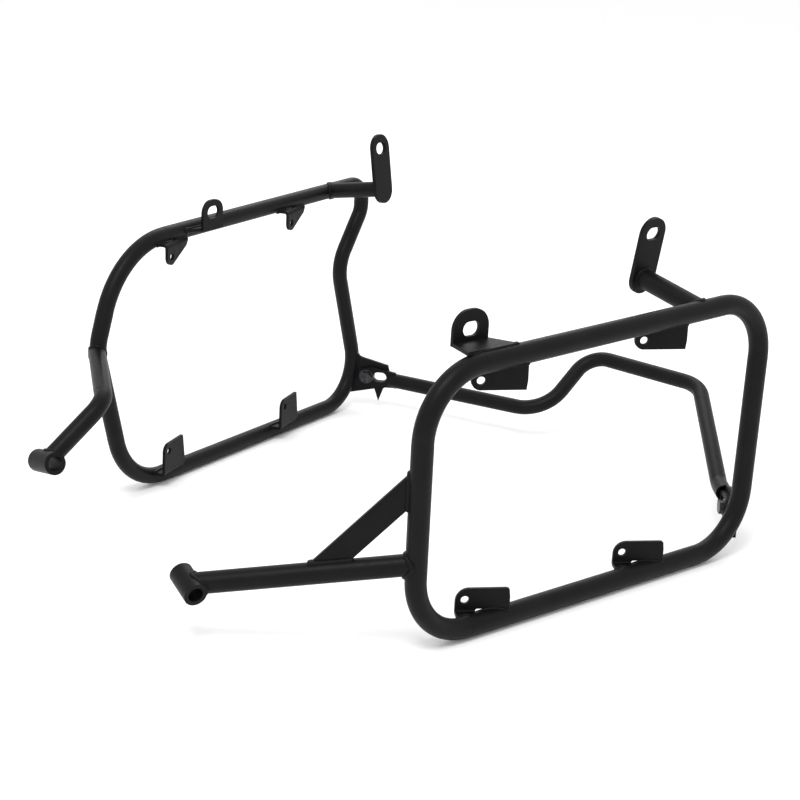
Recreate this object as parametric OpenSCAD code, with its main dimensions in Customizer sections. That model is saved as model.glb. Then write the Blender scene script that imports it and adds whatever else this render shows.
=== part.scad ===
// Pair of side frames for motorbike panniers, joined behind the wheel by a cross bar.
// Bike coordinates: +X points to the rear, +Y to the bike's right, +Z up, and Z = 0 is the
// floor that the two loops stand on. Each side is drawn in its own upright plane, where
// s runs rearwards along the loop, o points inboard to the bike, and z points up.

/* [Tubes] */
// Outer diameter of the left frame's tube
left_tube_d = 18; // [17:0.5:20]
// Outer diameter of the right frame's tube
right_tube_d = 16; // [15:0.5:18]
// Outer diameter of the cross bar's tube
bar_d = 16; // [14:0.5:18]
// Wall of every tube
tube_wall = 1.5; // [1:0.25:2.5]

/* [Left loop] */
// Length of the left loop between its upright tubes' centres
left_length = 390; // [375:1:410]
// Height of the left loop between its level tubes' centres, at the front
left_height = 223.5; // [215:1:235]
// Rise of the left top tube towards the rear
left_rise = 14; // [0:0.5:18]
// Bend radius at the left loop's front corners
left_front_bend = 57; // [46:1:60]
// Bend radius at the left loop's rear corners
left_rear_bend = 54; // [44:1:60]

/* [Right loop] */
// Length of the right loop along its bottom, between its corner points
right_length = 389; // [380:1:400]
// Height of the right loop between its level tubes' centres, at the front
right_height = 238; // [232:1:246]
// Rise of the right top tube towards the rear
right_rise = 9; // [2:0.5:12]
// How far the front upright's kink reaches ahead of the bottom corner
front_kink = 41; // [30:1:50]
// How far the rear upright's kink reaches ahead of the bottom corner
rear_kink = 53; // [45:1:58]
// Height of the front kink above the floor
front_kink_z = 154; // [145:1:162]
// Height of the rear kink above the floor
rear_kink_z = 168; // [162:1:174]
// Bend radius at the right loop's top front corner
right_top_bend = 86; // [70:1:90]
// Bend radius at the right loop's bottom front corner
right_front_bend = 68; // [56:1:72]
// Bend radius at the right loop's bottom rear corner
right_rear_bend = 46; // [40:1:50]

/* [Stance] */
// Distance between the two loops' planes at the foot of the splay
track = 449; // [430:1:470]
// Angle by which each loop splays out towards the rear
splay = 8.5; // [6:0.5:10]

/* [Foot arms] */
// Outer diameter of the bushes at the foot arms' ends
bush_d = 19.5; // [18.5:0.5:24]
// Bore of those bushes
bush_bore = 12.5; // [8:0.5:14]
// Length of those bushes
bush_length = 31; // [26:1:36]
// Width of the flat gusset on the left foot arm
gusset_w = 20; // [14:1:24]
// Thickness of that gusset
gusset_t = 4; // [3:0.5:6]

/* [Plates] */
// Thickness of the rear mounting plates
plate_t = 4; // [3:0.5:5]
// Width of the rear mounting plates
plate_w = 29; // [26:1:34]
// Overall height of the rear mounting plates
plate_h = 71; // [64:1:80]
// Outward lean of the rear mounting plates
plate_lean = 9; // [5:1:15]
// Width of the mounting slots, across their short way
slot_w = 12; // [8:0.5:13]
// Distance between the two end centres of a mounting slot
slot_travel = 5; // [2:0.5:7]
// Thickness of the front ears
ear_t = 3; // [2.5:0.5:4]
// Height of the left ear's eye, edge to edge
left_ear_w = 32; // [29:0.5:34]
// Height of the right ear's eye, edge to edge
right_ear_w = 24; // [22:0.5:27]
// Reach of the rear arms from the loop's plane to the mounting plates
arm_reach = 67; // [56:1:78]

/* [Pannier tabs] */
// Thickness of the tabs
tab_t = 3; // [2:0.5:4]
// Length of a left tab
left_tab_length = 46; // [42:1:50]
// Length of a right tab
right_tab_length = 41; // [38:1:44]
// Diameter of the hole in a tab
tab_hole = 7; // [5:0.5:9]
// Distance between the tab holes along each loop
tab_pitch = 185; // [176:1:190]
// Turn of the left tabs about the vertical
left_tab_turn = 30; // [22:1:34]
// Turn of the right tabs about the vertical
right_tab_turn = 12; // [6:1:16]

/* [Cross bar joints] */
// Thickness of the brackets on the loops and of the bar's end lugs
lug_t = 4; // [3:0.5:5]
// Diameter of the joint bolts
bolt_d = 8; // [6:1:8]
// Clearance of the bolts in their holes
bolt_clearance = 0.5; // [0.2:0.1:1]

/* [Hidden] */
$fn = 48;
black = [0.10, 0.10, 0.11];
steel = [0.30, 0.30, 0.31];

// a bend's tube is drawn in a little, and the bend runs on a little into its neighbours
bend_draw = 0.1;
bend_lap = 1;
// cuts run past the faces that they open by this much
past = 1;

left_r = left_tube_d / 2;
right_r = right_tube_d / 2;
bar_r = bar_d / 2;

// where each loop's plane crosses the bike, and the front uprights along it; the frame's
// origin is the middle of everything's outline, seen from above
mid_x = 33.5;
mid_y = 1.8;
plane_x = -33.5 - mid_x;
left_y = -track / 2 - mid_y;
right_y = track / 2 - mid_y;
left_front_s = -150.5;
left_front_tilt = 2.5;
left_top_front_s = left_front_s - left_front_tilt;
right_front_s = -104;
left_rear_s = left_front_s + left_length;
right_rear_s = right_front_s + right_length;

// corner points of the left loop
left_top_front_z = left_r + left_height;
left_top_rear_z = left_top_front_z + left_rise;
left_points = [
    [left_front_s, 0, left_r],
    [left_rear_s, 0, left_r],
    [left_rear_s, 0, left_top_rear_z],
    [left_top_front_s, 0, left_top_front_z]];
left_radii = [left_front_bend, left_rear_bend, left_rear_bend, left_front_bend];

// corner points of the right loop, whose uprights are kinked forwards at mid-height
right_top_front_z = right_r + right_height;
right_top_rear_z = right_top_front_z + right_rise;
right_top_front_s = right_front_s - 11;
right_neck_z = right_top_rear_z - 31;
right_top_rear_s = right_rear_s - 14;
right_points = [
    [right_front_s, 0, right_r],
    [right_rear_s, 0, right_r],
    [right_rear_s - rear_kink, 0, rear_kink_z],
    [right_top_rear_s, 0, right_neck_z],
    [right_top_rear_s, 0, right_top_rear_z],
    [right_top_front_s, 0, right_top_front_z],
    [right_front_s - front_kink, 0, front_kink_z]];
right_radii = [right_front_bend, right_rear_bend, 40, 20, 20, right_top_bend, 45];

// height of each top tube's centre at s
function left_top_z(s) =
    left_top_front_z
    + left_rise * (s - left_top_front_s) / (left_rear_s - left_top_front_s);
function right_top_z(s) =
    right_top_front_z
    + right_rise * (s - right_top_front_s) / (right_top_rear_s - right_top_front_s);

left_slope = atan2(left_rise, left_rear_s - left_top_front_s);
right_slope = atan2(right_rise, right_top_rear_s - right_top_front_s);

// bike coordinates of a point given on a side's plane
function left_at(s, o, z) = [
    plane_x + s * cos(splay) + o * sin(splay),
    left_y - s * sin(splay) + o * cos(splay), z];
function right_at(s, o, z) = [
    plane_x + s * cos(splay) + o * sin(splay),
    right_y + s * sin(splay) - o * cos(splay), z];

// vector helpers
function unit(v) = v / norm(v);
function turn(a, b) = acos(max(-1, min(1, a * b)));
// distance from a corner to where its bend starts
function setback(a, b, r) = r * tan(turn(a, b) / 2);

module left_side() {
    translate([plane_x, left_y, 0]) rotate([0, 0, -splay]) children();
}

module right_side() {
    translate([plane_x, right_y, 0]) rotate([0, 0, splay]) mirror([0, 1, 0]) children();
}

// turns +Z to direction d
module along(d) {
    rotate([0, acos(d.z / norm(d)), atan2(d.y, d.x)]) children();
}

// a round rod from p to q
module rod(p, q, r) {
    translate(p) along(q - p) cylinder(h = norm(q - p), r = r);
}

// a bend of radius r that starts at p along direction a and leaves along direction b
module bend(p, a, b, r, r_rod) {
    axis = unit(cross(a, b));
    u = cross(a, axis);
    c = p - u * r;
    m = [[u.x, a.x, axis.x, c.x], [u.y, a.y, axis.y, c.y], [u.z, a.z, axis.z, c.z], [0, 0, 0, 1]];
    extra = bend_lap / r * 180 / PI;
    multmatrix(m)
        rotate([0, 0, -extra])
            rotate_extrude(angle = turn(a, b) + 2 * extra)
                translate([r, 0])
                    circle(r = r_rod);
}

// a bent rod through the corner points, with a bend radius at each corner
module bent_rod(points, radii, r, closed = false) {
    n = len(points);
    dirs = [for (i = [0:n - 1]) unit(points[(i + 1) % n] - points[i])];
    back = [for (i = [0:n - 1])
        (!closed && (i == 0 || i == n - 1)) ? 0 : setback(dirs[(i + n - 1) % n], dirs[i], radii[i])];
    for (i = [0:closed ? n - 1 : n - 2]) {
        p = points[i] + dirs[i] * back[i];
        q = points[(i + 1) % n] - dirs[i] * back[(i + 1) % n];
        rod(p, q, r);
    }
    for (i = [0:n - 1])
        if (back[i] > 0)
            bend(points[i] - dirs[(i + n - 1) % n] * back[i], dirs[(i + n - 1) % n], dirs[i],
                radii[i], r - bend_draw);
}

// a bent tube: the same rod less its bore
module bent_tube(points, radii, d, closed = false) {
    difference() {
        bent_rod(points, radii, d / 2, closed);
        bent_rod(points, radii, d / 2 - tube_wall, closed);
    }
}

module left_loop_rod() {
    bent_rod(left_points, left_radii, left_r, closed = true);
}

module right_loop_rod() {
    bent_rod(right_points, right_radii, right_r, closed = true);
}

module left_loop() {
    color(black) left_side() bent_tube(left_points, left_radii, left_tube_d, closed = true);
}

module right_loop() {
    color(black) right_side() bent_tube(right_points, right_radii, right_tube_d, closed = true);
}

// foot arms, on their sides' planes
left_arm_z = 78;
left_bush_at = [-286, 117, 49];
left_bush_yaw = 10;
right_arm_z = 152;
right_arm_corner = [-224, 83, 143];
right_arm_bend = 28;
right_bush_at = [-284, 74, 102];
right_bush_yaw = -18;
bush_rise = 12;
left_arm_root = [left_front_s, 0, left_arm_z];
right_arm_root = [
    right_front_s - front_kink * (right_arm_z - right_r) / (front_kink_z - right_r),
    0, right_arm_z];

module bush_frame(at, yaw) {
    translate(at) rotate([0, 0, -yaw]) rotate([bush_rise - 90, 0, 0]) children();
}

module bush(at, yaw) {
    bush_frame(at, yaw)
        difference() {
            cylinder(h = bush_length, d = bush_d, center = true);
            cylinder(h = bush_length + 2 * past, d = bush_bore, center = true);
        }
}

module bush_space(at, yaw) {
    bush_frame(at, yaw) cylinder(h = bush_length, d = bush_d, center = true);
}

module left_foot_bush() {
    color(black) left_side() bush(left_bush_at, left_bush_yaw);
}

module right_foot_bush() {
    color(black) right_side() bush(right_bush_at, right_bush_yaw);
}

module left_arm_rod(r) {
    rod(left_arm_root, left_bush_at, r);
}

module left_foot_arm() {
    color(black) left_side()
        difference() {
            left_arm_rod(left_r);
            left_arm_rod(left_r - tube_wall);
            left_loop_rod();
            bush_space(left_bush_at, left_bush_yaw);
        }
}

module right_foot_arm() {
    color(black) right_side()
        difference() {
            bent_tube([right_arm_root, right_arm_corner, right_bush_at], [0, right_arm_bend, 0],
                right_tube_d);
            right_loop_rod();
            bush_space(right_bush_at, right_bush_yaw);
        }
}

// flat gusset between the left foot arm and the front upright, in the arm's upright plane
gusset_top_z = left_top_front_z - left_front_bend - 26.5;
gusset_foot_w = 78;
arm_run = norm([left_bush_at.x - left_front_s, left_bush_at.y]);
arm_yaw = atan2(left_bush_at.y, left_bush_at.x - left_front_s);
gusset_foot_z = left_arm_z + (left_bush_at.z - left_arm_z) * gusset_foot_w / arm_run;
gusset_slope = atan2(gusset_top_z - gusset_foot_z, gusset_foot_w);

module left_gusset() {
    color(black) left_side()
        difference() {
            translate([left_front_s, 0, gusset_top_z])
                rotate([0, 0, arm_yaw])
                    rotate([0, gusset_slope, 0])
                        translate([0, -gusset_t / 2, -gusset_w / 2])
                            cube([gusset_foot_w / cos(gusset_slope), gusset_t, gusset_w]);
            left_loop_rod();
            left_arm_rod(left_r);
            left_under_arm();
        }
}

// the space at and below the left foot arm's axis
module left_under_arm() {
    depth = 60;
    translate([left_front_s, 0, left_arm_z])
        rotate([0, 0, arm_yaw])
            rotate([0, atan2(left_arm_z - left_bush_at.z, arm_run), 0])
                translate([0, -depth / 2, -depth])
                    cube([arm_run, depth, depth]);
}

// an upright slot outline with its long way along x
module slot_outline() {
    for (side = [-1, 1]) translate([side * slot_travel / 2, 0]) circle(d = slot_w);
    square([slot_travel, slot_w], center = true);
}

// rear mounting plates: s and z of the arm's two ends on each side
left_arm_s = left_rear_s - 83.5;
right_arm_s = right_rear_s - 76;
left_arm_foot = [left_arm_s, left_top_z(left_arm_s)];
left_arm_head = [left_arm_s - 3.5, left_top_rear_z + 10.5];
right_arm_foot = [right_arm_s, right_top_z(right_arm_s)];
right_arm_head = [right_arm_s, right_top_rear_z + 11];

module plate_frame(head) {
    translate([head.x, arm_reach, head.y]) rotate([plate_lean, 0, 0]) children();
}

module rear_plate(head) {
    rise = plate_h - plate_w;
    plate_frame(head)
        rotate([90, 0, 0])
            mirror([0, 0, 1])
                linear_extrude(height = plate_t)
                    difference() {
                        union() {
                            circle(d = plate_w);
                            translate([-plate_w / 2, 0]) square([plate_w, rise]);
                            translate([0, rise]) circle(d = plate_w);
                        }
                        translate([0, rise]) slot_outline();
                    }
}

// the space from a plate's outboard face on
module beyond_plate(head) {
    reach = 40;
    plate_frame(head) translate([-reach / 2, 0, -reach / 2]) cube(reach);
}

module rear_arm(foot, head, d) {
    p = [foot.x, 0, foot.y];
    q = [head.x, arm_reach, head.y];
    far_end = q + unit(q - p) * 8;
    difference() {
        rod(p, far_end, d / 2);
        rod(p, far_end + unit(q - p), d / 2 - tube_wall);
        beyond_plate(head);
    }
}

module left_rear_plate() {
    color(black) left_side() rear_plate(left_arm_head);
}

module right_rear_plate() {
    color(black) right_side() rear_plate(right_arm_head);
}

module left_rear_arm() {
    color(black) left_side()
        difference() {
            rear_arm(left_arm_foot, left_arm_head, left_tube_d);
            left_loop_rod();
        }
}

module right_rear_arm() {
    color(black) right_side()
        difference() {
            rear_arm(right_arm_foot, right_arm_head, right_tube_d);
            right_loop_rod();
        }
}

// ears: a level web on the tube's inboard side, folded up into an eye with a slot; points
// are the web's corners as [s, o], from the front of the tube round the fold to its rear
module ear(s, web_z, eye_o, eye_up, eye_w, front_s, rear_s) {
    half = eye_w / 2 + slot_travel / 2;
    translate([s, 0, web_z])
        linear_extrude(height = ear_t)
            polygon([[front_s, 0], [rear_s, 0], [half, eye_o], [half, eye_o + ear_t],
                [-half, eye_o + ear_t], [-half, eye_o]]);
    translate([s, eye_o + ear_t, web_z])
        rotate([90, 0, 0])
            linear_extrude(height = ear_t)
                difference() {
                    union() {
                        for (side = [-1, 1])
                            translate([side * slot_travel / 2, eye_up]) circle(d = eye_w);
                        translate([-slot_travel / 2, eye_up]) square([slot_travel, eye_w / 2]);
                        translate([-half, 0]) square([2 * half, eye_up]);
                    }
                    translate([0, eye_up]) slot_outline();
                }
}

left_ear_s = -88.5;
left_ear_o = 24;
left_ear_up = 12.5;
left_web_seat = 7.5;
left_web_front = -24;
left_web_rear = 30;
right_ear_s = -2;
right_ear_o = 14;
right_ear_up = 17;
right_web_seat = -1;
right_web_front = -48;
right_web_rear = 34;

module left_ear() {
    color(black) left_side()
        difference() {
            ear(left_ear_s, left_top_z(left_ear_s) + left_web_seat, left_ear_o, left_ear_up,
                left_ear_w, left_web_front, left_web_rear);
            left_loop_rod();
        }
}

module right_ear() {
    color(black) right_side()
        difference() {
            ear(right_ear_s, right_top_z(right_ear_s) + right_web_seat, right_ear_o,
                right_ear_up, right_ear_w, right_web_front, right_web_rear);
            right_loop_rod();
        }
}

// pannier tabs: an upright plate with a hole near its front end, on a slotted foot that
// reaches to the loop's tube
tab_hole_o = 14;
tab_nose = 8;
tab_edge = 8.5;
tab_deep_edge = 10;
tab_seat = 4;
tab_fold_r = 1.5;
tab_reach = 34;
tab_foot_slot = 15;
tab_foot_slot_w = 4.5;
left_tab_s = -84.5;
right_tab_s = -60;
left_hole_up = 17;
left_hole_down = 20.5;
right_hole_up = 28.5;
right_hole_down = 17;

// where the upper tangent from point p touches a circle of radius r about the origin
function touch(p, r) =
    let (q = p * p)
    p * (r * r / q) + [-p.y, p.x] * (r * sqrt(q - r * r) / q);

// outline of an upright plate with its hole at the origin, its foot at -rise, and its free
// rear corner at the given point
module tab_outline(length, rise, edge, corner) {
    tail = length - tab_nose;
    slant = 8;
    lift = [0, max(0, edge - tab_nose)];
    difference() {
        union() {
            circle(r = tab_nose);
            polygon([[-tab_nose, 0], [-tab_nose, -rise], [tail, -rise],
                [tail, max(corner.y - slant, 2 - rise)], corner,
                lift + touch(corner - lift, tab_nose), lift, [0, 0]]);
            if (edge > tab_nose) {
                translate(lift) circle(r = tab_nose);
                translate([-tab_nose, 0]) square([tab_nose, edge - tab_nose]);
            }
        }
        circle(d = tab_hole);
    }
}

// cross section of a tab's bent sheet: the foot runs out to -y, the upright plate stands
// about y = 0, and the fold between them has its inner radius
module tab_fold(height) {
    centre = [-tab_t / 2 - tab_fold_r, tab_t + tab_fold_r];
    translate([-tab_t / 2, centre.y]) square([tab_t, height - centre.y]);
    translate([-tab_reach, 0]) square([tab_reach + centre.x, tab_t]);
    translate(centre)
        difference() {
            circle(r = tab_fold_r + tab_t);
            circle(r = tab_fold_r);
            translate([-2 * tab_reach, -tab_reach]) square([2 * tab_reach, 2 * tab_reach]);
            translate([-tab_reach, 0]) square(2 * tab_reach);
        }
}

// a tab that stands on a tube whose axis is x: hole_up is from that axis to the hole
module tab(length, turn_by, hole_up, edge, corner) {
    rise = hole_up - tab_seat;
    difference() {
        translate([0, tab_hole_o, tab_seat])
            rotate([0, 0, -turn_by])
                difference() {
                    intersection() {
                        translate([-tab_nose - past, 0, 0])
                            rotate([90, 0, 90])
                                linear_extrude(height = length + 2 * past)
                                    tab_fold(rise + tab_deep_edge + past);
                        translate([0, tab_t, rise])
                            rotate([90, 0, 0])
                                linear_extrude(height = tab_reach + 2 * tab_t)
                                    tab_outline(length, rise + past, edge, corner);
                    }
                    translate([tab_nose, -tab_t / 2 - tab_fold_r - tab_foot_slot_w / 2, -past])
                        linear_extrude(height = tab_t + 2 * past)
                            foot_slot();
                }
        // the foot ends under the tube's middle
        translate([-length, -2 * length, tab_seat - past])
            cube([2 * length, 2 * length, tab_t + past + 0.3]);
    }
}

module foot_slot() {
    length = tab_foot_slot - tab_foot_slot_w;
    square([length, tab_foot_slot_w], center = true);
    for (side = [-1, 1]) translate([side * length / 2, 0]) circle(d = tab_foot_slot_w);
}

module left_tab_bottom(s) {
    color(black) left_side()
        difference() {
            translate([s, 0, left_r])
                tab(left_tab_length, left_tab_turn, left_hole_up, tab_deep_edge,
                    [left_tab_length - tab_nose - 1, tab_deep_edge]);
            left_loop_rod();
        }
}

module left_tab_top(s) {
    color(black) left_side()
        difference() {
            translate([s, 0, left_top_z(s)])
                rotate([0, -left_slope, 0])
                    mirror([0, 0, 1])
                        tab(left_tab_length, left_tab_turn, left_hole_down, tab_nose,
                            [left_tab_length - tab_nose - 1, tab_edge]);
            left_loop_rod();
        }
}

module right_tab_bottom(s) {
    color(black) right_side()
        difference() {
            translate([s, 0, right_r])
                tab(right_tab_length, right_tab_turn, right_hole_up, tab_nose,
                    [right_tab_length - tab_nose - 5, tab_edge]);
            right_loop_rod();
        }
}

module right_tab_top(s) {
    color(black) right_side()
        difference() {
            translate([s, 0, right_top_z(s)])
                rotate([0, -right_slope, 0])
                    mirror([0, 0, 1])
                        tab(right_tab_length, right_tab_turn, right_hole_down, tab_nose,
                            [right_tab_length - tab_nose - 5, -5]);
            right_loop_rod();
        }
}

module left_tab_top_front() { left_tab_top(left_tab_s); }
module left_tab_top_rear() { left_tab_top(left_tab_s + tab_pitch); }
module left_tab_bottom_front() { left_tab_bottom(left_tab_s); }
module left_tab_bottom_rear() { left_tab_bottom(left_tab_s + tab_pitch); }
module right_tab_top_front() { right_tab_top(right_tab_s); }
module right_tab_top_rear() { right_tab_top(right_tab_s + tab_pitch); }
module right_tab_bottom_front() { right_tab_bottom(right_tab_s); }
module right_tab_bottom_rear() { right_tab_bottom(right_tab_s + tab_pitch); }

// cross bar joints: a bracket on each loop's rear bottom bend, and a lug on each bar end;
// both are drawn in a plane that starts on the loop's tube and points to the bar's end
left_joint_yaw = 44;
right_joint_yaw = 56;
joint_length = 47;
joint_bolt_w = 20;
left_joint_s = left_rear_s - 6;
right_joint_s = right_rear_s - 21;
// heights of the two joints' bolts and of the bar's ends
left_joint_z = 37;
right_joint_z = 38;
left_bar_drop = -4;
right_bar_drop = 3;
// a lug stays this clear of the loop's tube
lug_gap = 1;

module left_joint() {
    translate(left_at(left_joint_s, 0, left_joint_z))
        rotate([0, 0, left_joint_yaw])
            children();
}

module right_joint() {
    translate(right_at(right_joint_s, 0, right_joint_z))
        mirror([0, 1, 0])
            rotate([0, 0, right_joint_yaw])
                children();
}

// lowest point of a bracket's spur
spur = [34, -29];

// face outline of bracket and lug, w to the bar's end and z up
module bracket_outline() {
    polygon([[0, 26], [14, 20], [joint_length - 4, 13], [joint_length - 2, 6],
        [joint_length - 2, -10], [spur.x + 5, spur.y + 15], spur, [spur.x - 5, spur.y + 14],
        [0, -22]]);
}

module lug_outline() {
    polygon([[joint_bolt_w - 8, -8], [joint_bolt_w - 8, 8], [joint_bolt_w + 6, 11],
        [joint_length + 6, 6], [joint_length + 6, -11], [joint_bolt_w + 4, -12]]);
}

module joint_window() {
    translate([35, 0]) {
        square([4, 11], center = true);
        for (side = [-1, 1]) translate([side * 2, 0]) circle(d = 11);
    }
}

module bolt_hole() {
    translate([joint_bolt_w, 0]) circle(d = bolt_d + bolt_clearance);
}

module upright_plate(t) {
    rotate([90, 0, 0]) linear_extrude(height = t) children();
}

module bar_bracket() {
    upright_plate(lug_t)
        difference() {
            bracket_outline();
            joint_window();
            bolt_hole();
        }
}

module bar_lug() {
    translate([0, lug_t, 0])
        upright_plate(lug_t)
            difference() {
                lug_outline();
                joint_window();
                bolt_hole();
            }
}

module left_bar_bracket() {
    color(black)
        difference() {
            left_joint() bar_bracket();
            left_side() left_loop_rod();
        }
}

module right_bar_bracket() {
    color(black)
        difference() {
            right_joint() bar_bracket();
            right_side() right_loop_rod();
        }
}

module left_bar_lug() {
    color(black)
        difference() {
            left_joint() bar_lug();
            left_side() bent_rod(left_points, left_radii, left_r + lug_gap, closed = true);
        }
}

module right_bar_lug() {
    color(black)
        difference() {
            right_joint() bar_lug();
            right_side() bent_rod(right_points, right_radii, right_r + lug_gap, closed = true);
        }
}

// route of the cross bar, from the left joint to the right one
function left_joint_at(w) = left_at(left_joint_s, 0, left_joint_z - left_bar_drop)
    + [w * cos(left_joint_yaw), w * sin(left_joint_yaw), 0];
function right_joint_at(w) = right_at(right_joint_s, 0, right_joint_z - right_bar_drop)
    + [w * cos(right_joint_yaw), -w * sin(right_joint_yaw), 0];
bar_high_z = 87;
bar_lead = 24;
// the bar's three rear corners, seen from above
bar_left_rear = [375, -99];
bar_right_rear = [372, 40];
bar_right_low = [301, 44];
bar_points = [
    left_joint_at(joint_length),
    left_joint_at(joint_length + bar_lead),
    [bar_left_rear.x - mid_x, bar_left_rear.y - mid_y, bar_high_z],
    [bar_right_rear.x - mid_x, bar_right_rear.y - mid_y, bar_high_z],
    [bar_right_low.x - mid_x, bar_right_low.y - mid_y, right_joint_z - right_bar_drop],
    right_joint_at(joint_length)];
bar_radii = [0, 40, 39, 26, 42, 0];

module cross_bar() {
    color(black)
        difference() {
            bent_tube(bar_points, bar_radii, bar_d);
            left_joint() lug_slot();
            right_joint() lug_slot();
        }
}

// room for the lug in the bar's end
module lug_slot() {
    translate([0, lug_t, 0]) upright_plate(lug_t) lug_outline();
    upright_plate(lug_t) bracket_outline();
}

bolt_head_h = 5;
washer_t = 1.5;

module at_bolt() {
    translate([joint_bolt_w, 0, 0]) rotate([90, 0, 0]) children();
}

module bolt() {
    at_bolt() {
        translate([0, 0, -lug_t - bolt_head_h - washer_t])
            cylinder(h = bolt_head_h, d = bolt_d * 1.6, $fn = 6);
        translate([0, 0, -lug_t - washer_t - past])
            cylinder(h = 2 * lug_t + 2 * washer_t + 9 + past, d = bolt_d);
    }
}

module washer(z) {
    at_bolt()
        translate([0, 0, z])
            difference() {
                cylinder(h = washer_t, d = bolt_d * 2);
                translate([0, 0, -past]) cylinder(h = washer_t + 2 * past, d = bolt_d + 2 * bolt_clearance);
            }
}

module nut() {
    at_bolt()
        translate([0, 0, lug_t + washer_t])
            difference() {
                cylinder(h = bolt_d * 0.8, d = bolt_d * 1.85, $fn = 6);
                translate([0, 0, -past]) cylinder(h = bolt_d, d = bolt_d);
            }
}

module joint_bolts() {
    color(steel) {
        left_joint() bolt();
        right_joint() bolt();
    }
}

module joint_washers() {
    color(steel)
        for (z = [-lug_t - washer_t, lug_t]) {
            left_joint() washer(z);
            right_joint() washer(z);
        }
}

module joint_nuts() {
    color(steel) {
        left_joint() nut();
        right_joint() nut();
    }
}

left_loop();
left_foot_arm();
left_foot_bush();
left_gusset();
left_ear();
left_rear_arm();
left_rear_plate();
left_tab_top_front();
left_tab_top_rear();
left_tab_bottom_front();
left_tab_bottom_rear();
right_loop();
right_foot_arm();
right_foot_bush();
right_ear();
right_rear_arm();
right_rear_plate();
right_tab_top_front();
right_tab_top_rear();
right_tab_bottom_front();
right_tab_bottom_rear();
cross_bar();
left_bar_bracket();
right_bar_bracket();
left_bar_lug();
right_bar_lug();
joint_bolts();
joint_washers();
joint_nuts();
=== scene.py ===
import math
from collections import namedtuple
import bpy
import bmesh
from mathutils import Euler, Matrix, Vector
from mathutils.bvhtree import BVHTree


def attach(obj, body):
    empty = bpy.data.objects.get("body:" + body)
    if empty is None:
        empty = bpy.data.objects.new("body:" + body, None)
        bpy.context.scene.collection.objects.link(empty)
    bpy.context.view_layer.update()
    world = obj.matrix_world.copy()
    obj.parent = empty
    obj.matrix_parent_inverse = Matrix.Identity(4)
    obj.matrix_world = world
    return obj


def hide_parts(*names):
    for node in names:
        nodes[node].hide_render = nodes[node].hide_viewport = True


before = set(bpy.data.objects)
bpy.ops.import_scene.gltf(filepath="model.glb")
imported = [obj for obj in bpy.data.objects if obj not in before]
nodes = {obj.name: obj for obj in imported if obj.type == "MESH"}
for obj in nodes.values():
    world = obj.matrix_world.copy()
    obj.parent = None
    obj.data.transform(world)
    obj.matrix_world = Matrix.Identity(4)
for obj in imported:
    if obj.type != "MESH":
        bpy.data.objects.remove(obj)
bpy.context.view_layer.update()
scene = bpy.context.scene
MM = 0.001
FRAME_SIDES = ("left", "right")
ENDS = ("front", "rear")


# materials
NOISE_SPAN = (0.3, 0.7)
ROUGH_FALL = 0.05
ROUGH_RISE = 0.06
TUBE_DARK = (0.0042, 0.0042, 0.0048)
TUBE_LIGHT = (0.0068, 0.0068, 0.0074)
PLATE_DARK = (0.0036, 0.0036, 0.0042)
PLATE_LIGHT = (0.0058, 0.0058, 0.0064)
STEEL_DARK = (0.018, 0.018, 0.02)
STEEL_LIGHT = (0.07, 0.07, 0.076)
FLOOR_WHITE = (0.98, 0.98, 0.98)
STUDIO_WHITE = (1.0, 1.0, 1.0)
PAINT_SPECULAR = 0.11
FLOOR_SPECULAR = 0.1


def new_material(name):
    """A material with its node tree and its shader."""
    mat = bpy.data.materials.new(name)
    mat.use_nodes = True
    tree = mat.node_tree
    return mat, tree, tree.nodes["Principled BSDF"]


def node(tree, kind, inputs):
    """A shader node with some of its inputs set by name."""
    made = tree.nodes.new(kind)
    for key, value in inputs.items():
        made.inputs[key].default_value = value
    return made


def noise(tree, scale, detail, roughness):
    """Noise over a piece's own metres."""
    place = tree.nodes.new("ShaderNodeTexCoord")
    made = node(tree, "ShaderNodeTexNoise", {"Scale": scale, "Detail": detail, "Roughness": roughness})
    tree.links.new(place.outputs["Object"], made.inputs["Vector"])
    return made.outputs["Fac"]


def blend(tree, source, stops):
    """A colour that runs from one stop to the next with the source's value."""
    made = tree.nodes.new("ShaderNodeValToRGB")
    for element, (place, colour) in zip(made.color_ramp.elements, stops):
        element.position = place
        element.color = (*colour, 1.0)
    tree.links.new(source, made.inputs["Fac"])
    return made.outputs["Color"]


def spread(tree, source, low, high, span=(0.0, 1.0)):
    """The source's span laid over the values from low to high."""
    made = node(tree, "ShaderNodeMapRange",
                {"From Min": span[0], "From Max": span[1], "To Min": low, "To Max": high})
    tree.links.new(source, made.inputs["Value"])
    return made.outputs["Result"]


def bump(tree, height, strength, distance):
    """A bump node; its Normal input takes a coarser bump."""
    made = node(tree, "ShaderNodeBump", {"Strength": strength, "Distance": distance})
    tree.links.new(height, made.inputs["Height"])
    return made


def powder_coat(name, dark, light, rough, peel, grain):
    """Baked powder paint: a faint orange peel over a fine grain, a little uneven in tone."""
    mat, tree, shader = new_material(name)
    tone = noise(tree, scale=34.0, detail=4.0, roughness=0.6)
    wave = noise(tree, scale=430.0, detail=2.0, roughness=0.5)
    fine = noise(tree, scale=1900.0, detail=3.0, roughness=0.7)
    colour = blend(tree, tone, [(0.3, dark), (0.72, light)])
    gloss = spread(tree, wave, rough - ROUGH_FALL, rough + ROUGH_RISE, NOISE_SPAN)
    soft = bump(tree, wave, strength=peel, distance=0.4 * MM)
    hard = bump(tree, fine, strength=grain, distance=0.1 * MM)
    tree.links.new(colour, shader.inputs["Base Color"])
    tree.links.new(gloss, shader.inputs["Roughness"])
    tree.links.new(soft.outputs["Normal"], hard.inputs["Normal"])
    tree.links.new(hard.outputs["Normal"], shader.inputs["Normal"])
    shader.inputs["Specular IOR Level"].default_value = PAINT_SPECULAR
    return mat


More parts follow.
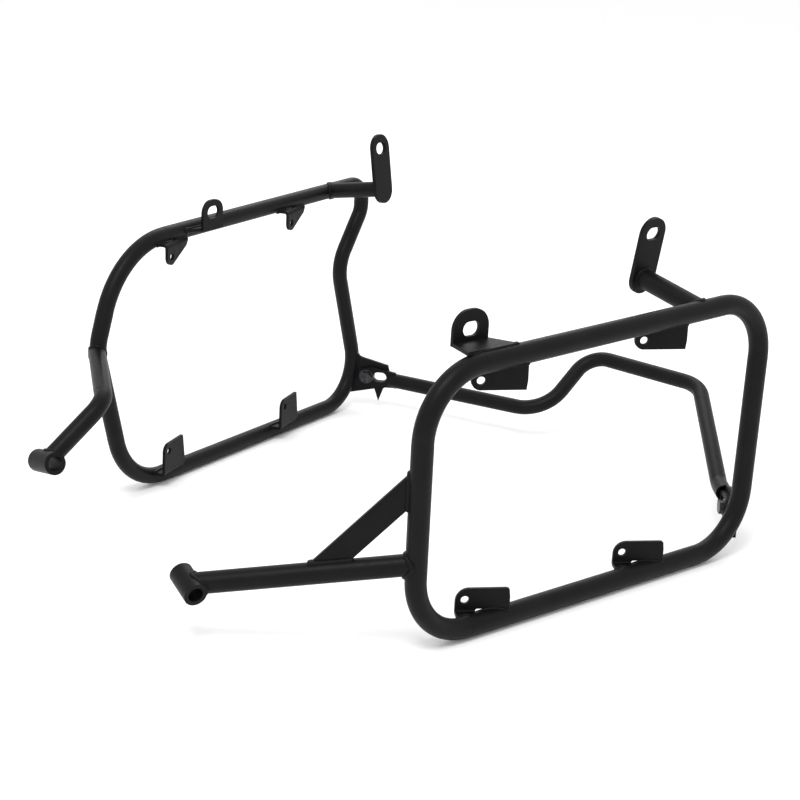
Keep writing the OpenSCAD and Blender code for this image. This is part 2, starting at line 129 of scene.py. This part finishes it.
def dark_steel(name):
    """Blackened fastener steel, a little brighter where it is handled."""
    mat, tree, shader = new_material(name)
    tone = noise(tree, scale=260.0, detail=5.0, roughness=0.65)
    colour = blend(tree, tone, [(0.35, STEEL_DARK), (0.7, STEEL_LIGHT)])
    gloss = spread(tree, tone, low=0.28, high=0.5)
    worn = bump(tree, tone, strength=0.15, distance=0.2 * MM)
    tree.links.new(colour, shader.inputs["Base Color"])
    tree.links.new(gloss, shader.inputs["Roughness"])
    tree.links.new(worn.outputs["Normal"], shader.inputs["Normal"])
    shader.inputs["Metallic"].default_value = 0.85
    return mat


tube_black = powder_coat("tube_black", TUBE_DARK, TUBE_LIGHT, rough=0.42, peel=0.10, grain=0.10)
plate_black = powder_coat("plate_black", PLATE_DARK, PLATE_LIGHT, rough=0.48, peel=0.12, grain=0.14)
weld_black = powder_coat("weld_black", PLATE_DARK, TUBE_LIGHT, rough=0.40, peel=0.20, grain=0.10)
bolt_steel = dark_steel("bolt_steel")

SHEET_WORDS = ("_tab_", "_plate", "_ear", "_lug", "_bracket", "_gusset")


def finish_of(name):
    """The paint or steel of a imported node."""
    if name.startswith("joint_"):
        return bolt_steel
    if any(word in name for word in SHEET_WORDS):
        return plate_black
    return tube_black


for name, obj in nodes.items():
    obj.data.materials.clear()
    obj.data.materials.append(finish_of(name))


# weld beads, found where a piece's sharp edges lie on the piece that carries it
TOUCH = 0.45 * MM
SEARCH = 1.8 * MM
SHARP_RADIANS = 0.35
SAME_POINT = 0.001 * MM
RAY_LIFT = 0.3 * MM
RAY_TILT = 0.2
RAY_REACH = 20 * MM

# the beads' own shape
STEP = 0.45 * MM
FEWEST_STEPS = 4
SHORTEST = 3 * MM
CLOSED = 0.01 * MM
NO_LENGTH = 1e-9
BEAD_SIDES = 10
LINE_PASSES = 3
NORMAL_PASSES = 6
BASE_SHARE = 0.9
RIPPLE = 1.9 * MM
RIPPLE_SHARE = 0.13
SLOW_DRIFT = 5.3 * MM
SLOW_SHARE = 0.05
QUICK_DRIFT = 2.9 * MM
QUICK_SHARE = 0.04
END_TAPER = 1.6
END_SHARE = 0.12
PHASE_STEP = 0.7


def welded_mesh(name):
    """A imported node's mesh with the points of neighbouring triangles joined."""
    bm = bmesh.new()
    bm.from_mesh(nodes[name].data)
    bmesh.ops.remove_doubles(bm, verts=bm.verts, dist=SAME_POINT)
    return bm


def seam_edges(bm, own, carrier):
    """Sharp edges on the carrier's surface, without those inside a tube's bore."""
    def near(point):
        hit = carrier.find_nearest(point, SEARCH)
        return hit[0] is not None and hit[3] < TOUCH

    touching = {v for v in bm.verts if near(v.co)}
    found = []
    for edge in bm.edges:
        if len(edge.link_faces) != 2 or not all(v in touching for v in edge.verts):
            continue
        middle = (edge.verts[0].co + edge.verts[1].co) / 2
        if edge.calc_face_angle(0.0) < SHARP_RADIANS or not near(middle):
            continue
        ground = carrier.find_nearest(middle)[1]
        side = min(edge.link_faces, key=lambda f: abs(f.normal.dot(ground))).normal
        start = middle + (side + ground * RAY_TILT) * RAY_LIFT
        if own.ray_cast(start, side, RAY_REACH)[0] is None:
            found.append(edge)
    return found


def chains(edges):
    """The edges as lists of points; a ring's last point repeats its first."""
    left = set(edges)
    ends = {}
    for edge in edges:
        for v in edge.verts:
            ends.setdefault(v, []).append(edge)
    ordered = sorted(ends, key=lambda v: v.index)
    loose = [v for v in ordered if len(ends[v]) != 2]
    lines = []
    for start in loose + ordered:
        for edge in ends[start]:
            if edge not in left:
                continue
            line = [start.co.copy()]
            here = start
            while edge is not None:
                left.discard(edge)
                here = edge.other_vert(here)
                line.append(here.co.copy())
                onward = [e for e in ends[here] if e in left]
                edge = onward[0] if onward and len(ends[here]) == 2 else None
            lines.append(line)
    return lines


def resample(line):
    """Points every STEP along a line, and its length."""
    lengths = [0.0]
    for a, b in zip(line, line[1:]):
        lengths.append(lengths[-1] + (b - a).length)
    count = max(FEWEST_STEPS, round(lengths[-1] / STEP))
    points = []
    k = 0
    for i in range(count + 1):
        at = lengths[-1] * i / count
        while k < len(line) - 2 and lengths[k + 1] < at:
            k += 1
        span = max(lengths[k + 1] - lengths[k], NO_LENGTH)
        points.append(line[k].lerp(line[k + 1], (at - lengths[k]) / span))
    return points, lengths[-1]


def smoothed(values, ring, passes):
    """The values evened out along the seam; an open seam keeps its two ends."""
    count = len(values)
    for _ in range(passes):
        copy = list(values)
        for i in range(count):
            if ring or 0 < i < count - 1:
                copy[i] = (values[(i - 1) % count] + values[i] * 2 + values[(i + 1) % count]) / 4
        values = copy
    return values


def bead_size(at, length, ring, radius, phase):
    """The bead's radius at a place along its seam; it thins out at an open seam's ends."""
    ripple = RIPPLE_SHARE * abs(math.sin(math.pi * at / RIPPLE + phase))
    slow = SLOW_SHARE * math.sin(at / SLOW_DRIFT + 2 * phase)
    quick = QUICK_SHARE * math.sin(at / QUICK_DRIFT)
    size = radius * (BASE_SHARE + ripple + slow + quick)
    if ring:
        return size
    from_end = min(at, length - at)
    return size * max(END_SHARE, math.sqrt(min(1.0, from_end / (END_TAPER * radius))))


def bead(bm, line, radius, carrier, phase):
    """A rippled, closed bead along one seam."""
    ring = (line[0] - line[-1]).length < CLOSED
    points, length = resample(line)
    if length < SHORTEST:
        return
    if ring:
        points = points[:-1]
    points = smoothed(points, ring, LINE_PASSES)
    count = len(points)
    normals = smoothed([carrier.find_nearest(p)[1] for p in points], ring, NORMAL_PASSES)
    angles = [2 * math.pi * k / BEAD_SIDES for k in range(BEAD_SIDES)]
    rows = []
    for i, (point, normal) in enumerate(zip(points, normals)):
        before = points[i - 1] if ring or i else point
        after = points[(i + 1) % count] if ring or i < count - 1 else point
        ahead = (after - before).normalized()
        up = (normal - ahead * normal.dot(ahead)).normalized()
        across = ahead.cross(up)
        size = bead_size(length * i / count, length, ring, radius, phase)
        rows.append([bm.verts.new(point + (up * math.cos(a) + across * math.sin(a)) * size)
                     for a in angles])
    for i in range(count if ring else count - 1):
        a = rows[i]
        b = rows[(i + 1) % count]
        for k in range(BEAD_SIDES):
            j = (k + 1) % BEAD_SIDES
            bm.faces.new((a[k], a[j], b[j], b[k]))
    if not ring:
        bm.faces.new(rows[0])
        bm.faces.new(rows[-1])


def add_weld(name, bm):
    """The beads of one joint as a visible piece that rides with the frames."""
    bmesh.ops.recalc_face_normals(bm, faces=bm.faces)
    mesh = bpy.data.meshes.new(name)
    bm.to_mesh(mesh)
    mesh.shade_smooth()
    mesh.materials.append(weld_black)
    piece = bpy.data.objects.new(name, mesh)
    scene.collection.objects.link(piece)
    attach(piece, "root")


STRUT_BEAD = 2.3 * MM
TUBE_BEAD = 1.5 * MM
SHEET_BEAD = 1.4 * MM


def side_welds(side):
    """One frame's joints of tubes and large sheets: piece, carrier and bead radius."""
    arm_bead = STRUT_BEAD if side == "left" else TUBE_BEAD
    joints = [
        ("foot_arm", "loop", arm_bead),
        ("foot_arm", "foot_bush", TUBE_BEAD),
        ("rear_arm", "loop", TUBE_BEAD),
        ("rear_arm", "rear_plate", TUBE_BEAD),
        ("ear", "loop", SHEET_BEAD),
        ("bar_bracket", "loop", SHEET_BEAD)]
    return [(f"{side}_{piece}", f"{side}_{carrier}", radius) for piece, carrier, radius in joints]


WELDS = side_welds("left") + side_welds("right")
WELDS += [("left_gusset", "left_loop", STRUT_BEAD), ("left_gusset", "left_foot_arm", STRUT_BEAD)]
WELDS += [(f"{side}_bar_lug", "cross_bar", SHEET_BEAD) for side in FRAME_SIDES]
WELDS += [(f"{side}_tab_{level}_{end}", f"{side}_loop", SHEET_BEAD)
          for side in FRAME_SIDES for level in ("top", "bottom") for end in ENDS]

trees = {}
for piece, carrier, _ in WELDS:
    for name in (piece, carrier):
        if name not in trees:
            mesh = welded_mesh(name)
            trees[name] = BVHTree.FromBMesh(mesh)
            mesh.free()

for number, (piece, carrier, radius) in enumerate(WELDS):
    source = welded_mesh(piece)
    source.verts.index_update()
    weld = bmesh.new()
    for line in chains(seam_edges(source, trees[piece], trees[carrier])):
        bead(weld, line, radius, trees[carrier], PHASE_STEP * number)
    # a joint where no seam is found gets no bead
    if len(weld.verts):
        add_weld(f"weld_{piece}_{carrier}", weld)
    weld.free()
    source.free()


# lower pannier tabs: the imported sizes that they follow, in millimetres and degrees
MID_X = 33.5
MID_Y = 1.8
PLANE_X = -33.5 - MID_X
TRACK = 449.0
SPLAY = math.radians(8.5)
TAB_SEAT = 4.0
TAB_HOLE_O = 14.0
TAB_NOSE = 8.0
TAB_PITCH = 185.0
TabSide = namedtuple("TabSide", "tube_r first_s turn length hole_up edge")
TAB_SIDES = {
    "left": TabSide(tube_r=9.0, first_s=-84.5, turn=30.0, length=46.0, hole_up=17.0, edge=10.0),
    "right": TabSide(tube_r=8.0, first_s=-60.0, turn=12.0, length=41.0, hole_up=28.5, edge=8.5)}

# what is cut from them, with x along the plate, y through it and z up
SLACK = 0.02
PLATE_LOW = -6.0
PLATE_Y = (-60.0, 20.0)
NOSE_R = 11.5
CORNER_R = 3.5
SLANT_LOW = 1.0
SLANT_TOP = 5.5
RELIEF_X = (9.0, 20.0)
RELIEF_Y = (-9.0, 4.0)
RELIEF_LOW = -1.0
RELIEF_MID = 2.9
RELIEF_R = 2.0
ARC_STEPS = 10
SHARP_CUT = 28.0


def side_frame(side):
    """From a side's own plane to the frame's millimetres."""
    if side == "left":
        return Matrix.Translation((PLANE_X, -TRACK / 2 - MID_Y, 0)) @ Matrix.Rotation(-SPLAY, 4, "Z")
    mirror = Matrix.Diagonal((1, -1, 1, 1))
    return Matrix.Translation((PLANE_X, TRACK / 2 - MID_Y, 0)) @ Matrix.Rotation(SPLAY, 4, "Z") @ mirror


def low_tab_frame(side, end):
    """From a lower tab's own millimetres to the frame's metres."""
    tab = TAB_SIDES[side]
    s = tab.first_s + (TAB_PITCH if end == "rear" else 0.0)
    seat = Matrix.Translation((s, TAB_HOLE_O, tab.tube_r + TAB_SEAT))
    turn = Matrix.Rotation(-math.radians(tab.turn), 4, "Z")
    return Matrix.Scale(MM, 4) @ side_frame(side) @ seat @ turn


def arc(cx, cz, r, start, stop):
    """Points of an arc round (cx, cz) from one angle in degrees to another."""
    turns = [math.radians(start + (stop - start) * i / ARC_STEPS) for i in range(ARC_STEPS + 1)]
    return [(cx + r * math.cos(a), cz + r * math.sin(a)) for a in turns]


def left_outline(front, tail, top):
    """A plate with a large corner at the hole and a small one at the rear."""
    foot = [(front, PLATE_LOW), (tail, PLATE_LOW)]
    rear = arc(tail - CORNER_R, top - CORNER_R, CORNER_R, 0, 90)
    nose = arc(front + NOSE_R, top - NOSE_R, NOSE_R, 90, 180)
    return foot + rear + nose


def right_outline(front, tail, top):
    """A plate with square corners and a slanting rear edge."""
    return [(front, PLATE_LOW), (tail + SLANT_LOW, PLATE_LOW), (tail - SLANT_TOP, top), (front, top)]


def relief_outline():
    """The slot across the fold between plate and foot, with round upper corners."""
    x0, x1 = RELIEF_X
    rear = arc(x1 - RELIEF_R, RELIEF_MID, RELIEF_R, 90, 0)
    front = arc(x0 + RELIEF_R, RELIEF_MID, RELIEF_R, 180, 90)
    return rear + [(x1, RELIEF_LOW), (x0, RELIEF_LOW)] + front


def prism(name, outline, depth, place):
    """A cutter: an x-z outline drawn through a depth in y, in the tab's own frame."""
    bm = bmesh.new()
    near, far = [[bm.verts.new(place @ Vector((x, y, z))) for x, z in outline] for y in depth]
    bm.faces.new(near)
    bm.faces.new(far)
    for i in range(len(outline)):
        j = (i + 1) % len(outline)
        bm.faces.new((near[i], near[j], far[j], far[i]))
    bmesh.ops.recalc_face_normals(bm, faces=bm.faces)
    mesh = bpy.data.meshes.new(name)
    bm.to_mesh(mesh)
    bm.free()
    cutter = bpy.data.objects.new(name, mesh)
    scene.collection.objects.link(cutter)
    return cutter


def carve(node_name, cuts):
    """A cut copy of a packed plate takes its place."""
    name = f"shaped_{node_name}"
    piece = bpy.data.objects.new(name, nodes[node_name].data.copy())
    scene.collection.objects.link(piece)
    for operation, cutter in cuts:
        step = piece.modifiers.new("cut", "BOOLEAN")
        step.operation = operation
        step.solver = "EXACT"
        step.object = cutter
    graph = bpy.context.evaluated_depsgraph_get()
    cut = piece.evaluated_get(graph).to_mesh()
    mesh = bpy.data.meshes.new(name)
    mesh.from_pydata([v.co[:] for v in cut.vertices], [], [face.vertices[:] for face in cut.polygons])
    mesh.materials.append(plate_black)
    mesh.shade_smooth()
    mesh.set_sharp_from_angle(angle=math.radians(SHARP_CUT))
    piece.modifiers.clear()
    piece.data = mesh
    for _, cutter in cuts:
        bpy.data.objects.remove(cutter)
    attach(piece, "root")
    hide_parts(node_name)


for side, tab in TAB_SIDES.items():
    front = -TAB_NOSE - SLACK
    tail = tab.length - TAB_NOSE + SLACK
    top = tab.hole_up - TAB_SEAT + tab.edge + SLACK
    outline_of = left_outline if side == "left" else right_outline
    for end in ENDS:
        place = low_tab_frame(side, end)
        cuts = [("INTERSECT", prism("outline_cutter", outline_of(front, tail, top), PLATE_Y, place))]
        if side == "left":
            cuts.append(("DIFFERENCE", prism("relief_cutter", relief_outline(), RELIEF_Y, place)))
        carve(f"{side}_tab_bottom_{end}", cuts)


# floor
FLOOR_SIZE = 14.0
FLOOR_DROP = 0.4 * MM

bpy.ops.mesh.primitive_plane_add(size=FLOOR_SIZE, location=(0.0, 0.0, -FLOOR_DROP))
floor = bpy.context.object
floor.name = "floor"
white, _, shader = new_material("white_floor")
shader.inputs["Base Color"].default_value = (*FLOOR_WHITE, 1.0)
shader.inputs["Roughness"].default_value = 0.9
shader.inputs["Specular IOR Level"].default_value = FLOOR_SPECULAR
floor.data.materials.append(white)


# light
LIT_POINT = (0.0, 0.0, 0.1)

world = bpy.data.worlds.new("studio")
scene.world = world
world.use_nodes = True
background = world.node_tree.nodes["Background"]
background.inputs["Color"].default_value = (*STUDIO_WHITE, 1.0)
background.inputs["Strength"].default_value = 1.0


def area_light(name, place, size, power):
    """A round lamp, its size in metres and its power in watts, aimed at the frames."""
    data = bpy.data.lights.new(name, "AREA")
    data.shape = "DISK"
    data.size = size
    data.energy = power
    lamp = bpy.data.objects.new(name, data)
    scene.collection.objects.link(lamp)
    lamp.location = place
    lamp.rotation_euler = (Vector(LIT_POINT) - Vector(place)).to_track_quat("-Z", "Y").to_euler()


area_light("key", (-1.2, -0.6, 2.4), size=1.1, power=30.0)
area_light("rear_fill", (1.6, 1.4, 1.8), size=1.6, power=14.0)


# camera, in metres and degrees, as both loops, the foot arms and the bar fit the photograph
CAMERA_PLACE = (-1.176, -1.0207, 0.6257)
CAMERA_TURN = (71.801, -3.095, -47.659)

camera_data = bpy.data.cameras.new("photo_camera")
camera_data.sensor_width = 36.0
camera_data.lens = 78.75
camera_data.clip_start = 0.05
camera = bpy.data.objects.new("photo_camera", camera_data)
scene.collection.objects.link(camera)
turn = Euler([math.radians(angle) for angle in CAMERA_TURN])
camera.matrix_world = Matrix.Translation(CAMERA_PLACE) @ turn.to_matrix().to_4x4()
scene.camera = camera
scene.view_settings.view_transform = "Standard"
